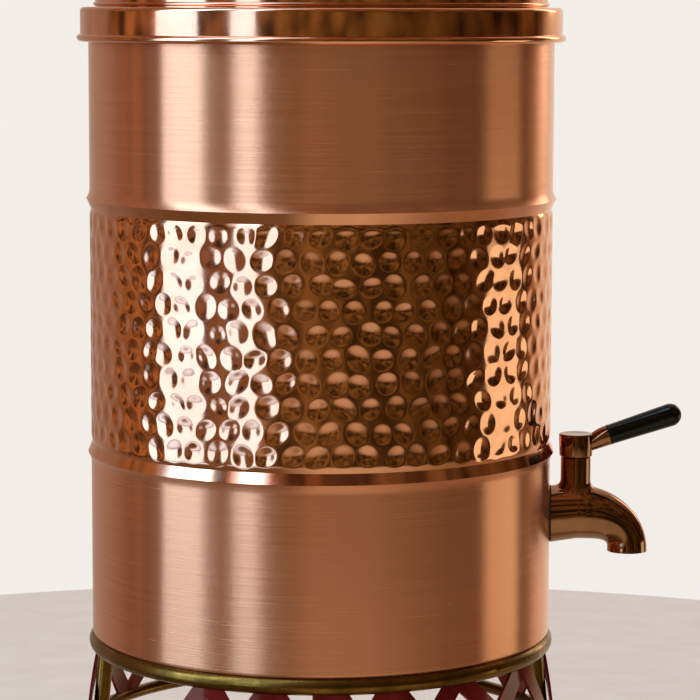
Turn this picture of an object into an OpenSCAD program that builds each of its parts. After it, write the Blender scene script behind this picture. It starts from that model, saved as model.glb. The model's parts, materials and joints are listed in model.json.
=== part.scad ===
// Copper water dispenser: a lidded vessel with a hammered band, a lever tap and a rod stand.
// Lengths are in millimetres and angles in degrees. +Z is up, the tap points along +X,
// and the origin lies on the vessel's axis at the level of the table.

/* [Vessel] */
// Outer radius of the plain bands
vessel_r = 110; // [95:1:140]
// Height from the hem to the top of the rolled rim
vessel_h = 297; // [250:1:380]
// Thickness of the copper sheet
wall_t = 1.2; // [0.8:0.1:2]
// Width of the hem turned in at the bottom
hem_w = 8; // [7:0.5:12]
// Outer corner radius of the hem
hem_r = 2; // [1:0.25:3]
// Height of the middle of the lower rib above the hem
rib_low_z = 88; // [78:1:100]
// Height of the middle of the upper rib above the hem
rib_high_z = 208.6; // [180:0.2:230]
// Height of each rib
rib_h = 10; // [6:0.5:14]
// How far each rib stands out
rib_out = 1.5; // [0.8:0.1:2]
// Depth of the groove between each rib and the hammered band
rib_groove_d = 0.6; // [0.2:0.1:1]
// Height over which the hammered band rises out of that groove
rib_groove_h = 3; // [2:0.5:5]
// Radius of the rolled rim
rim_roll_r = 1.75; // [1.3:0.05:2.5]
// Height of the base's underside above the hem
base_recess = 7; // [6:0.5:12]
// Thickness of the base
base_t = 1.5; // [1:0.1:3]

/* [Lid] */
// Thickness of the lid's sheet
lid_t = 1; // [0.8:0.1:1.5]
// Radial gap between the rim and the skirt
lid_gap = 0.5; // [0.3:0.1:1.5]
// Depth of the skirt, from the top of the shoulder to the bottom of its bead
lid_drop = 16.1; // [12:0.1:30]
// Radius of the bead along the skirt's edge
lid_bead_r = 1.8; // [1.4:0.1:2.4]
// How far that bead stands out from the skirt
lid_bead_out = 1.6; // [1:0.1:1.9]
// Radius of the shoulder's corner
lid_corner_r = 1.8; // [1.2:0.1:3]
// Width of the flat shoulder outside the tier
lid_shoulder_w = 7.1; // [6:0.1:20]
// Height of the tier above the shoulder
tier_h = 10; // [7:0.5:25]
// Radius of the small bead around the tier's foot
tier_bead_r = 0.9; // [0.5:0.1:1.4]
// Radius of the tier's upper corner
tier_corner_r = 2.5; // [1.2:0.1:4]
// Rise of the dome above the tier
dome_h = 9; // [4:0.5:25]

/* [Knob] */
// Largest radius of the knob
knob_r = 13; // [10:0.5:18]
// Height of the knob's round head
knob_head_h = 19; // [14:0.5:28]
// Radius of the knob's neck
knob_neck_r = 5.5; // [4.5:0.25:8]
// Height of the neck above the knob's foot
knob_neck_h = 5; // [3:0.5:10]
// Radius of the knob's foot
knob_foot_r = 10; // [8.5:0.5:14]
// Thickness of the knob's foot
knob_foot_t = 2; // [1.5:0.25:4]
// Radius of the knob's screw
knob_screw_r = 2.5; // [2:0.25:3]
// Depth of the screw in the knob
knob_screw_grip = 12; // [6:0.5:16]
// Radius of the washer under the knob's screw
knob_washer_r = 8; // [7:0.5:12]
// Thickness of that washer
knob_washer_t = 1.5; // [1:0.25:3]

/* [Tap] */
// Height of the tap's inlet above the hem
tap_z = 56; // [50:1:60]
// Radius of the tap body at the wall
tap_root_r = 14; // [13:0.25:15]
// Radius of the tap body where the spout starts to bend
tap_bend_r = 13; // [12.5:0.25:14]
// Thickness of the gasket
gasket_t = 0.8; // [0.6:0.1:3]
// Distance from the wall to the turret's axis
turret_reach = 12.7; // [11.5:0.1:16]
// Reach of the spout's outer curve beyond the turret
spout_reach = 34.8; // [32:0.2:40]
// Depth from the inlet to the spout's mouth
spout_drop = 17.6; // [17:0.1:24]
// Outer radius of the spout's mouth
spout_mouth_r = 9.55; // [9:0.05:10.5]
// Radius of the outlet
outlet_r = 7; // [5:0.25:7.5]
// Radius of the threaded shank through the wall
shank_r = 9; // [8:0.25:10]
// Radius of the inlet in the shank
inlet_r = 6; // [4.5:0.25:6.5]
// Height of the turret's top above the inlet
turret_h = 27.8; // [26:0.2:36]
// Outer radius of the turret
turret_r = 7.2; // [7:0.1:9]

/* [Valve] */
// Radius of the turning plug
plug_r = 5.5; // [5:0.05:5.8]
// Radius of the port across the plug
port_r = 3.2; // [2.4:0.1:3.6]
// Radius of the stem that carries the handle
stem_r = 4; // [3.5:0.1:4.2]
// Radius of the round rubber seals
seal_r = 0.9; // [0.7:0.05:1]
// Height of the gland ring in the turret's mouth
gland_h = 4; // [3:0.25:6]

/* [Handle] */
// Radius of the handle's hub
hub_r = 8.2; // [7.5:0.1:10]
// Height of the hub
hub_h = 10.9; // [10:0.1:16]
// Upward tilt of the lever
lever_tilt = 18.3; // [5:0.1:30]
// Distance along the lever from the turret's axis to the grip
lever_root = 16.5; // [15:0.5:25]
// Radius of the lever at the hub
lever_root_r = 3.7; // [3.2:0.1:4.5]
// Length of the grip up to its round end
grip_len = 31; // [24:0.5:60]
// Radius of the grip next to the hub
grip_root_r = 4.8; // [4.2:0.1:6]
// Radius of the grip at its round end
grip_end_r = 5.5; // [4.5:0.1:8]
// Radius of the lever's core inside the grip
core_r = 3; // [2:0.1:3.4]
// Radius of the handle's set screw
set_screw_r = 1.5; // [1:0.1:2]

/* [Stand] */
// Height of the vessel's seat above the table
stand_h = 150; // [120:1:220]
// Radius of the ring's rod
ring_rod_r = 4; // [3:0.25:5]
// How far the ring's outer edge stands out from the vessel
ring_proud = 1.7; // [0.5:0.1:3]
// Depth of the flat seat on top of the ring
ring_flat = 0.3; // [0.1:0.05:0.6]
// Number of legs
leg_count = 4; // [3:1:6]
// Radius of a leg's rod
leg_rod_r = 3.75; // [3:0.25:4.5]
// How far a leg's top stands inside the ring's centreline
leg_inset = 4.6; // [4.2:0.1:6]
// Outward lean of the legs
leg_splay = 5.7; // [2:0.1:10]
// Drop from the ring to the lower ring
frieze_h = 44; // [34:1:55]
// Radius of the lower ring's rod
lower_rod_r = 3; // [2.5:0.25:4]
// Width of a strap
strap_w = 9; // [7:0.5:11]
// Thickness of a strap
strap_t = 1.5; // [1:0.1:2.5]
// Radius of a round foot
foot_r = 9; // [7:0.25:12]

/* [Clearances] */
// Gap of a soldered or screwed joint, on the radius
joint_gap = 0.05; // [0.02:0.01:0.1]
// Gap of a turning fit, on the radius
turn_gap = 0.04; // [0.02:0.01:0.08]
// Gap between faces that pass each other
face_gap = 0.3; // [0.2:0.05:0.6]
// Gap around the shank in the wall
shank_gap = 0.3; // [0.2:0.05:0.6]

/* [Hidden] */
$fn = 96;
fine_fn = 720;
arc_steps = 12;
corner_steps = 6;
dome_steps = 10;
head_steps = 16;
overlap = 1;
far = 400;

copper_satin = "#b9775a";
copper_polished = "#c47a52";
copper_dark = "#9a5a38";
brass_aged = "#7d6a33";
lacquer = "#5a1216";
rubber = "#201c1a";
steel = "#b5b5b5";

// Vessel levels and radii
wall_in_r = vessel_r - wall_t;
rim_r = wall_in_r + rim_roll_r;
rim_z = vessel_h - rim_roll_r;
rim_out_r = rim_r + rim_roll_r;
rim_start = -acos((vessel_r - rim_r) / rim_roll_r);

// Lid levels and radii
lid_in_r = rim_out_r + lid_gap;
lid_out_r = lid_in_r + lid_t;
lid_seat_z = vessel_h + face_gap;
lid_top_z = lid_seat_z + lid_t;
lid_bead_c = lid_out_r + lid_bead_out - lid_bead_r;
lid_bead_z = lid_top_z - lid_drop + lid_bead_r;
lid_bead_start = -acos((lid_in_r - lid_bead_c) / lid_bead_r);
lid_bead_end = acos((lid_out_r - lid_bead_c) / lid_bead_r);
tier_r = lid_out_r - lid_shoulder_w;
tier_bead_z = lid_top_z + tier_bead_r + lid_t / 2;
tier_top_z = lid_top_z + tier_h;
dome_edge_r = tier_r - tier_corner_r;
tier_corner_end = 80;
knob_seat_margin = 1;
knob_seat_r = knob_foot_r + knob_seat_margin;
knob_z = tier_top_z + dome_h;
screw_head_r = 2 * knob_screw_r;
screw_head_h = 3;

// Tap levels, measured from the hem, and distances from the vessel's axis
tap_face_x = vessel_r + gasket_t;
turret_x = vessel_r + turret_reach;
root_depth = 3;
gasket_inset = 0.5;
root_drop = 0.4;
bend_rise = 0.9;
root_z = tap_z - root_drop;
bend_z = tap_z + bend_rise;
mouth_z = tap_z - spout_drop;
mouth_x = turret_x + spout_reach - spout_mouth_r;
lip_h = 0.6;
turret_z = tap_z + turret_h;
washer_t = 2.4;
washer_lap = 5;
washer_r = shank_r + washer_lap;
nut_h = 7;
nut_lap = 6.5;
nut_r = shank_r + nut_lap;
washer_sag = wall_in_r - sqrt(wall_in_r * wall_in_r - washer_r * washer_r);
nut_x = wall_in_r - washer_sag - washer_t;
shank_end = 2;
shank_x = nut_x - nut_h - shank_end;
outlet_h = 9;
outlet_top_z = mouth_z + outlet_h;
riser_extra = 0.8;
riser_step = 0.6;
riser_r = port_r + riser_extra;
riser_x = mouth_x - outlet_r + riser_r + riser_step;

// Valve levels, measured from the hem
plug_drop = 8;
plug_z = tap_z - plug_drop;
gland_z = turret_z - face_gap - gland_h;
plug_top_z = gland_z - face_gap;
seal_c = plug_r - seal_r + turn_gap / 2;
seal_edge = 3;
seal_z = [tap_z + port_r + seal_edge, plug_top_z - seal_edge];
hub_z = turret_z + face_gap;
stem_in_hub = 8;
stem_top_z = hub_z + stem_in_hub;
lever_drop = 0.5;
lever_z = hub_z + hub_h / 2 - lever_drop;
hub_taper = 0.3;
set_screw_sink = 1;

// Handle distances along the lever
neck_len = 7;
collar_len = 2.5;
lever_neck = lever_root - neck_len;
lever_collar = lever_root - collar_len;
core_len = grip_len - grip_end_r / 2;

// Stand levels and radii
ring_r = vessel_r + ring_proud - ring_rod_r;
ring_z = stand_h - ring_rod_r + ring_flat;
lower_z = ring_z - frieze_h;
leg_r = ring_r - leg_inset;
leg_out = tan(leg_splay);
leg_top_h = 1;
leg_end_h = 2.5;
lower_bite = 0.8;
lower_r = leg_r + frieze_h * leg_out + leg_rod_r / cos(leg_splay) + lower_rod_r - lower_bite;
foot_flat = 2;
foot_z = foot_r - foot_flat;

// Where the straps' points meet the ring, as angles from the front towards the tap
front_points = [-28, -12, 3, 17, 35, 60];
back_points = [100 : 20 : 260];
strap_end = 16;

LEGS = [1 : leg_count];

// Points of an arc in a profile
function arc(cx, cz, r, a0, a1, n = arc_steps) =
    [for (i = [0 : n]) let (a = a0 + (a1 - a0) * i / n) [cx + r * cos(a), cz + r * sin(a)]];

function reversed(list) = [for (i = [len(list) - 1 : -1 : 0]) list[i]];

function shifted(list, dr, dz) = [for (p = list) [p[0] + dr, p[1] + dz]];

// A rib's outer points, bottom to top: a hollow flare on the plain side, and on the other a straight slope
// into the groove beside the hammered band
function rib_flare() =
    [for (i = [0 : corner_steps]) let (u = i / corner_steps)
        [vessel_r + rib_out * u * u, rib_h / 2 * (u - 1)]];
function rib_side() =
    concat(rib_flare(), [[vessel_r - rib_groove_d, rib_h / 2], [vessel_r, rib_h / 2 + rib_groove_h]]);
function rib_low() = shifted(rib_side(), 0, rib_low_z);
function rib_high() = shifted([for (p = reversed(rib_side())) [p[0], -p[1]]], 0, rib_high_z);

module on_stand() {
    translate([0, 0, stand_h]) children();
}

module turned(points) {
    rotate_extrude() polygon(points);
}

module rod_ring(r, z, rod_r) {
    translate([0, 0, z]) rotate_extrude() translate([r, 0]) circle(rod_r);
}

// Vessel

module vessel_wall() {
    ribs = concat(rib_low(), rib_high());
    outer = concat(
        [[vessel_r - hem_w, 0]],
        arc(vessel_r - hem_r, hem_r, hem_r, -90, 0, corner_steps),
        ribs,
        arc(rim_r, rim_z, rim_roll_r, rim_start, 180)
    );
    inner = concat(
        reversed(shifted(ribs, -wall_t, 0)),
        [[wall_in_r, wall_t], [vessel_r - hem_w, wall_t]]
    );
    color(copper_satin) on_stand() difference() {
        turned(concat(outer, inner));
        tap_bore(vessel_r / 2, vessel_r + overlap, shank_r + shank_gap);
    }
}

module vessel_base() {
    edge = wall_in_r - joint_gap;
    color(copper_satin) on_stand() turned([
        [0, base_recess],
        [edge - base_t, base_recess],
        [edge - base_t, wall_t],
        [edge, wall_t],
        [edge, base_recess + base_t],
        [0, base_recess + base_t]
    ]);
}

// Tap

// A round bar along the tap's inlet, in the vessel's frame
module tap_bore(x0, x1, r) {
    translate([x0, 0, tap_z]) rotate([0, 90, 0]) cylinder(h = x1 - x0, r = r);
}

// The spout's outer and inner curves in the XZ plane, from the turret to the mouth
function spout_outer(t) = [
    turret_x + spout_reach * sin(t),
    mouth_z + (bend_z + tap_bend_r - mouth_z) * cos(t)
];
function spout_inner(t) = [
    turret_x + (spout_reach - 2 * spout_mouth_r) * sqrt(sin(t)),
    mouth_z + (bend_z - tap_bend_r - mouth_z) * sqrt(max(cos(t), 0))
];
spout_turns = [0, 2, 5, 10, 16, 23, 31, 40, 50, 60, 70, 80, 90];
spout_sections = concat(
    [[[vessel_r - root_depth, root_z + tap_root_r], [vessel_r - root_depth, root_z - tap_root_r]]],
    [for (t = spout_turns) [spout_outer(t), spout_inner(t)]],
    [[spout_outer(90) - [0, lip_h], spout_inner(90) - [0, lip_h]]]
);
spout_sides = 40;

// One ring of points around a section given by its outer and inner point
function section_ring(s) = let (
        mid = (s[0] + s[1]) / 2,
        half = (s[0] - s[1]) / 2,
        wide = norm(half)
    ) [
        for (k = [0 : spout_sides - 1]) let (a = 360 * k / spout_sides)
            [mid[0] + half[0] * cos(a), wide * sin(a), mid[1] + half[1] * cos(a)]
    ];

module spout_solid() {
    n = spout_sides;
    rings = len(spout_sections);
    first = (rings - 1) * n;
    ends = [for (s = [spout_sections[0], spout_sections[rings - 1]])
        let (mid = (s[0] + s[1]) / 2) [mid[0], 0, mid[1]]];
    points = concat([for (s = spout_sections) each section_ring(s)], ends);
    sides = [
        for (j = [0 : rings - 2], k = [0 : n - 1])
            let (a = j * n + k, b = j * n + (k + 1) % n)
                each [[a, b, a + n], [b, b + n, a + n]]
    ];
    caps = [
        for (k = [0 : n - 1])
            let (next = (k + 1) % n)
                each [[rings * n, next, k], [rings * n + 1, first + k, first + next]]
    ];
    polyhedron(points, concat(sides, caps));
}

module tap_body() {
    color(copper_dark) on_stand() difference() {
        union() {
            difference() {
                spout_solid();
                cylinder(h = vessel_h, r = tap_face_x, $fn = fine_fn);
            }
            tap_bore(shank_x, tap_face_x + overlap, shank_r);
            translate([turret_x, 0, tap_z]) cylinder(h = turret_h, r = turret_r);
        }
        tap_bore(shank_x - overlap, turret_x - plug_r - overlap, inlet_r);
        tap_bore(turret_x - plug_r - 2 * overlap, riser_x, port_r);
        translate([turret_x, 0, plug_z - face_gap]) cylinder(h = far, r = plug_r + turn_gap);
        translate([riser_x, 0, outlet_top_z - overlap])
            cylinder(h = tap_z - outlet_top_z + overlap + port_r / 2, r = riser_r);
        translate([mouth_x, 0, mouth_z - lip_h - overlap])
            cylinder(h = outlet_top_z - mouth_z + lip_h + overlap, r = outlet_r);
    }
}

module tap_gasket() {
    color(rubber) on_stand() intersection() {
        difference() {
            tap_bore(vessel_r / 2, tap_face_x + overlap, tap_root_r - gasket_inset);
            tap_bore(vessel_r / 2 - overlap, tap_face_x + 2 * overlap, shank_r + joint_gap);
            cylinder(h = vessel_h, r = vessel_r, $fn = fine_fn);
        }
        cylinder(h = vessel_h, r = tap_face_x, $fn = fine_fn);
    }
}

module tap_inner_washer() {
    color(rubber) on_stand() intersection() {
        difference() {
            tap_bore(nut_x, vessel_r, washer_r);
            tap_bore(nut_x - overlap, vessel_r + overlap, shank_r + joint_gap);
        }
        cylinder(h = vessel_h, r = wall_in_r, $fn = fine_fn);
    }
}

module tap_lock_nut() {
    color(brass_aged) on_stand() translate([nut_x - nut_h, 0, tap_z]) rotate([0, 90, 0]) difference() {
        cylinder(h = nut_h, r = nut_r, $fn = 6);
        translate([0, 0, -overlap]) cylinder(h = nut_h + 2 * overlap, r = shank_r + joint_gap);
    }
}

module gland_ring() {
    color(brass_aged) on_stand() translate([turret_x, 0, gland_z]) difference() {
        cylinder(h = gland_h, r = plug_r);
        translate([0, 0, -overlap]) cylinder(h = gland_h + 2 * overlap, r = stem_r + turn_gap);
    }
}

// Valve and handle

module valve_plug() {
    groove_in = seal_c - seal_r - joint_gap;
    groove_h = 2 * (seal_r + joint_gap);
    color(brass_aged) on_stand() translate([turret_x, 0, 0]) difference() {
        union() {
            translate([0, 0, plug_z]) cylinder(h = plug_top_z - plug_z, r = plug_r);
            translate([0, 0, plug_z]) cylinder(h = stem_top_z - plug_z, r = stem_r);
        }
        translate([0, plug_r + overlap, tap_z]) rotate([90, 0, 0])
            cylinder(h = 2 * (plug_r + overlap), r = port_r);
        for (z = seal_z) translate([0, 0, z - groove_h / 2]) difference() {
            cylinder(h = groove_h, r = plug_r + overlap);
            translate([0, 0, -overlap]) cylinder(h = groove_h + 2 * overlap, r = groove_in);
        }
    }
}

module valve_seals() {
    color(rubber) on_stand() translate([turret_x, 0, 0])
        for (z = seal_z) rod_ring(seal_c, z, seal_r);
}

// Places a child along the lever, with its +Z running outward from the turret's axis
module along_lever() {
    on_stand() translate([turret_x, 0, lever_z]) rotate([0, 90 - lever_tilt, 0]) children();
}

// Places a child on the set screw's axis, with its +Z running out of the hub
module at_set_screw() {
    on_stand() translate([turret_x, 0, hub_z + hub_h / 2]) rotate([-90, 0, 0]) children();
}

module tap_handle() {
    color(copper_dark) difference() {
        union() {
            on_stand() translate([turret_x, 0, hub_z])
                cylinder(h = hub_h, r1 = hub_r - hub_taper, r2 = hub_r);
            along_lever() {
                cylinder(h = lever_neck, r = lever_root_r);
                translate([0, 0, lever_neck])
                    cylinder(h = lever_collar - lever_neck, r1 = lever_root_r, r2 = grip_root_r);
                translate([0, 0, lever_collar]) cylinder(h = lever_root - lever_collar, r = grip_root_r);
                translate([0, 0, lever_root]) cylinder(h = core_len, r = core_r);
            }
        }
        on_stand() translate([turret_x, 0, hub_z - overlap])
            cylinder(h = stem_top_z - hub_z + overlap + face_gap, r = stem_r + joint_gap);
        at_set_screw() cylinder(h = hub_r + overlap, r = set_screw_r + joint_gap);
    }
}

module handle_set_screw() {
    color(steel) at_set_screw() translate([0, 0, stem_r + joint_gap]) difference() {
        cylinder(h = hub_r - stem_r - set_screw_sink, r = set_screw_r);
        translate([0, 0, overlap]) cylinder(h = hub_r, r = set_screw_r / 2, $fn = 6);
    }
}

module lever_grip() {
    color(rubber) along_lever() translate([0, 0, lever_root]) difference() {
        turned(concat([[0, 0], [grip_root_r, 0]], arc(0, grip_len, grip_end_r, 0, 90)));
        translate([0, 0, -overlap]) cylinder(h = core_len + overlap + face_gap, r = core_r + joint_gap);
    }
}

// Lid

module lid_shell() {
    dome = [for (i = [0 : dome_steps]) let (u = 1 - i / dome_steps)
        [knob_seat_r + (dome_edge_r - knob_seat_r) * u, knob_z - dome_h * u * u]];
    outer = concat(
        arc(lid_bead_c, lid_bead_z, lid_bead_r, lid_bead_start, lid_bead_end),
        arc(lid_out_r - lid_corner_r, lid_top_z - lid_corner_r, lid_corner_r, 0, 90, corner_steps),
        [[tier_r, lid_top_z]],
        arc(tier_r, tier_bead_z, tier_bead_r, -90, 90),
        arc(dome_edge_r, tier_top_z - tier_corner_r, tier_corner_r, 0, tier_corner_end, corner_steps),
        dome,
        [[0, knob_z]]
    );
    inner = concat(
        [[0, knob_z - lid_t]],
        reversed(shifted(dome, 0, -lid_t)),
        [[tier_r - lid_t, tier_top_z - tier_corner_r]],
        [[tier_r - lid_t, lid_seat_z], [lid_in_r, lid_seat_z]]
    );
    color(copper_polished) on_stand() difference() {
        turned(concat(outer, inner));
        translate([0, 0, lid_seat_z]) cylinder(h = far, r = knob_screw_r + joint_gap);
    }
}

module lid_knob() {
    half = knob_head_h / 2;
    head_z = knob_foot_t + knob_neck_h + half;
    start = -acos(knob_neck_r / knob_r);
    neck_z = head_z + half * sin(start);
    head = [for (i = [0 : head_steps]) let (a = start + (90 - start) * i / head_steps)
        [knob_r * cos(a), head_z + half * sin(a)]];
    flare = knob_foot_r - knob_neck_r;
    foot = [for (i = [0 : corner_steps]) let (a = 90 * i / corner_steps)
        [knob_foot_r - flare * sin(a), neck_z - (neck_z - knob_foot_t) * cos(a)]];
    color(copper_polished) on_stand() translate([0, 0, knob_z]) difference() {
        turned(concat([[0, 0], [knob_foot_r, 0]], foot, head));
        translate([0, 0, -overlap])
            cylinder(h = knob_screw_grip + overlap + face_gap, r = knob_screw_r + joint_gap);
    }
}

module knob_washer() {
    color(rubber) on_stand() translate([0, 0, knob_z - lid_t - knob_washer_t]) difference() {
        cylinder(h = knob_washer_t, r = knob_washer_r);
        translate([0, 0, -overlap]) cylinder(h = far, r = knob_screw_r + joint_gap);
    }
}

module knob_screw() {
    under = knob_z - lid_t - knob_washer_t;
    color(steel) on_stand() difference() {
        union() {
            translate([0, 0, under - screw_head_h]) cylinder(h = screw_head_h, r = screw_head_r);
            translate([0, 0, under - overlap])
                cylinder(h = knob_z + knob_screw_grip - under + overlap, r = knob_screw_r);
        }
        translate([0, 0, under - screw_head_h - overlap])
            cylinder(h = overlap + screw_head_h / 2, r = knob_screw_r, $fn = 6);
    }
}

// Stand

// Places a child on a leg's axis at the ring's level, with its +Z running down towards the foot
module on_leg(i) {
    rotate([0, 0, 360 / leg_count * (i - 1)]) translate([leg_r, 0, ring_z])
        rotate([0, 180 - leg_splay, 0]) children();
}

// The bare rod of a leg, from beside the ring down into its foot
module leg_rod(i, r = leg_rod_r) {
    on_leg(i) translate([0, 0, -leg_top_h])
        cylinder(h = leg_top_h + (ring_z - leg_end_h) / cos(leg_splay), r = r);
}

module upper_rod() {
    rod_ring(ring_r, ring_z, ring_rod_r);
}

module lower_rod() {
    rod_ring(lower_r, lower_z, lower_rod_r);
}

module stand_ring() {
    color(brass_aged) difference() {
        upper_rod();
        translate([0, 0, stand_h]) cylinder(h = ring_rod_r, r = ring_r + 2 * ring_rod_r);
    }
}

module stand_lower_ring() {
    color(brass_aged) lower_rod();
}

module leg(i) {
    color(brass_aged) difference() {
        leg_rod(i);
        upper_rod();
        lower_rod();
    }
}

// One slanting arm of a strap, from its upper point to its lower point, longer than it needs to be
module strap_arm(a_top, a_low) {
    mid = (a_top + a_low) / 2;
    run = (ring_r + lower_r) / 2;
    slant = run * sin(a_low - mid) * 2 / frieze_h;
    half_w = strap_w / 2 * norm([slant, 1]);
    half_h = frieze_h / 2 + overlap;
    depth = lower_r - ring_r + 2 * strap_w;
    rotate([0, 0, mid - 90]) translate([ring_r - strap_w, 0, (ring_z + lower_z) / 2]) rotate([90, 0, 90])
        linear_extrude(depth) polygon([
            [-slant * half_h - half_w, half_h],
            [-slant * half_h + half_w, half_h],
            [slant * half_h + half_w, -half_h],
            [slant * half_h - half_w, -half_h]
        ]);
}

// A lattice of straps between the two rings, with its upper points at the given angles
module strap(tops) {
    last = len(tops) - 1;
    lows = concat(tops[0] - strap_end, tops, tops[last] + strap_end);
    half_t = strap_t / 2;
    color(lacquer) difference() {
        intersection() {
            turned([
                [ring_r - half_t, ring_z],
                [ring_r + half_t, ring_z],
                [lower_r + half_t, lower_z],
                [lower_r - half_t, lower_z]
            ]);
            union() for (k = [0 : last]) {
                strap_arm(tops[k], lows[k]);
                strap_arm(tops[k], lows[k + 2]);
            }
        }
        upper_rod();
        lower_rod();
    }
}

module front_strap() {
    strap(front_points);
}

module back_strap() {
    strap([for (a = back_points) a]);
}

module foot(i) {
    color(brass_aged) difference() {
        on_leg(i) translate([0, 0, (ring_z - foot_z) / cos(leg_splay)]) sphere(foot_r);
        translate([-far, -far, -far]) cube([2 * far, 2 * far, far]);
        leg_rod(i, leg_rod_r + joint_gap);
    }
}

stand_ring();
stand_lower_ring();
front_strap();
back_strap();
for (i = LEGS) {
    leg(i);
    foot(i);
}
vessel_wall();
vessel_base();
tap_body();
tap_gasket();
tap_inner_washer();
tap_lock_nut();
gland_ring();
valve_plug();
valve_seals();
tap_handle();
handle_set_screw();
lever_grip();
lid_shell();
lid_knob();
knob_washer();
knob_screw();
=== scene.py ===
"""Looks of the copper water dispenser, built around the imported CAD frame.

All lengths are metres in the frame of the CAD model: +Z up, the tap along +X, the camera in front at -Y.
"""

import json
import math
import random

import bpy
import numpy as np
from mathutils import Matrix, Vector


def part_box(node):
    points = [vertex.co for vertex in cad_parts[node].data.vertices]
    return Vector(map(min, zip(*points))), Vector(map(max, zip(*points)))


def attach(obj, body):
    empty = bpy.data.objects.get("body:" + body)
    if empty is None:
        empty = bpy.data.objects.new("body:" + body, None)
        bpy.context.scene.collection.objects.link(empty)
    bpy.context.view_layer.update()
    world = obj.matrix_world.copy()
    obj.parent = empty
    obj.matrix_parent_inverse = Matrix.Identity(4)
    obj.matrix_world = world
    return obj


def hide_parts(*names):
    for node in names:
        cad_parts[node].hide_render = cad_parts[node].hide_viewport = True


MM = 0.001

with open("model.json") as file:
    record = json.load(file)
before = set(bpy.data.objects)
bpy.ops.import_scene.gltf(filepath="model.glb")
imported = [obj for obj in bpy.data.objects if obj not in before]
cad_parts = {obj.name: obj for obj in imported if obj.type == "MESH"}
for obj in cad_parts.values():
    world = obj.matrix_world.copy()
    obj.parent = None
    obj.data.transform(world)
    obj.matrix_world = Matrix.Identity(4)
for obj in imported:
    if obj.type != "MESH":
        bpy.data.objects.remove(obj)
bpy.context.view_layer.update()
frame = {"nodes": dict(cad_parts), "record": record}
nodes = frame["nodes"]


# Places read from the frame

wall_low, wall_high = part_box("vessel_wall")
SEAT_Z = wall_low.z
RIM_TOP_Z = wall_high.z
lid_low, lid_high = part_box("lid_shell")
gasket_low, gasket_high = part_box("tap_gasket")
tap_low, tap_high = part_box("tap_body")
hub_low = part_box("tap_handle")[0]
plug_low, plug_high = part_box("valve_plug")
TURRET_X = (plug_low.x + plug_high.x) / 2
TAP_Z = (gasket_low.z + gasket_high.z) / 2


# Sizes of the vessel, as in the CAD model

VESSEL_R = 110 * MM
WALL_T = 1.2 * MM
HEM_W = 8 * MM
HEM_R = 2 * MM
RIB_LOW_Z = SEAT_Z + 88 * MM
RIB_HIGH_Z = SEAT_Z + 208.6 * MM
RIB_H = 10 * MM
RIB_OUT = 1.5 * MM
GROOVE_D = 0.6 * MM
GROOVE_H = 3 * MM
RIM_ROLL_R = 1.75 * MM

# Hammered band: its mesh, then the places and sizes of the marks and how much these vary. Turn and stagger
# are shares of the marks' spacing, and sizes and depths are shares of their radius and depth.

WALL_COLUMNS = 384
BAND_COLUMNS = 3 * WALL_COLUMNS
BAND_ROWS = 190
INNER_ROWS = 60
GROOVE_CURVE = 1.5
DIMPLE_ROWS = 10
DIMPLES_PER_ROW = 60
DIMPLE_TOP = 5.6 * MM
DIMPLE_PITCH = 10.86 * MM
DIMPLE_R = 5.9 * MM
DIMPLE_SIZES = (0.86, 1.06)
DIMPLE_DEPTH = 0.60 * MM
DIMPLE_DEPTHS = (0.7, 1.2)
DIMPLE_JITTER = 0.5 * MM
DIMPLE_TURN = 0.07
DIMPLE_STAGGER = 0.45
DIMPLE_RIM = 1.8
DIMPLE_STRETCH = 0.08
DIMPLE_LEAN = 0.14
DIMPLE_SEED = 11

# Tap and handle, as in the CAD model, apart from the lever's radius and neck and the turret's fillet

ROOT_R = 14 * MM
ROOT_DROP = 0.4 * MM
ROOT_Z = TAP_Z - ROOT_DROP
ROOT_DEPTH = 3 * MM
GASKET_T = 0.8 * MM
BEND_R = 13 * MM
BEND_RISE = 0.9 * MM
BEND_Z = TAP_Z + BEND_RISE
MOUTH_R = 9.55 * MM
LIP_H = 0.6 * MM
MOUTH_Z = tap_low.z + LIP_H
SPOUT_REACH = tap_high.x - TURRET_X
OUTLET_R = 7 * MM
OUTLET_DEPTH = 9.6 * MM
SHANK_R = 9 * MM
SHANK_GAP = 0.3 * MM
SHANK_OVERLAP = 2 * MM
INLET_R = 6 * MM
TURRET_R = 7.2 * MM
NECK_FILLET = 3.2 * MM
PLUG_BORE_R = 5.54 * MM
HUB_R = 8.2 * MM
HUB_H = 10.9 * MM
STEM_R = 4.05 * MM
STEM_DEPTH = 8.3 * MM
LEVER_TILT = 18.3
LEVER_DROP = 0.5 * MM
LEVER_Z = hub_low.z + HUB_H / 2 - LEVER_DROP
LEVER_ROOT = 16.5 * MM
LEVER_R = 3.85 * MM
LEVER_NECK = 7.5 * MM
SCREW_HOLE_R = 1.55 * MM
CORE_R = 3 * MM
CORE_SHORT = 3 * MM
BORE_SHORT = 2.7 * MM
BORE_GAP = 0.05 * MM
GRIP_LEN = 31 * MM
GRIP_ROOT_R = 4.8 * MM
GRIP_END_R = 5.5 * MM


# Mesh helpers

SHARP_ANGLE = 35
ON_AXIS = 1e-9


def arc(cr, cz, radius, start, end, steps):
    """Points of an arc in a profile, from one angle in degrees to another."""
    points = []
    for i in range(steps + 1):
        a = math.radians(start + (end - start) * i / steps)
        points.append((cr + radius * math.cos(a), cz + radius * math.sin(a)))
    return points


def shade(mesh, sharp_angle):
    """Smooth shading with hard edges where the faces turn by more than an angle in degrees."""
    mesh.shade_smooth()
    mesh.set_sharp_from_angle(angle=math.radians(sharp_angle))


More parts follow.
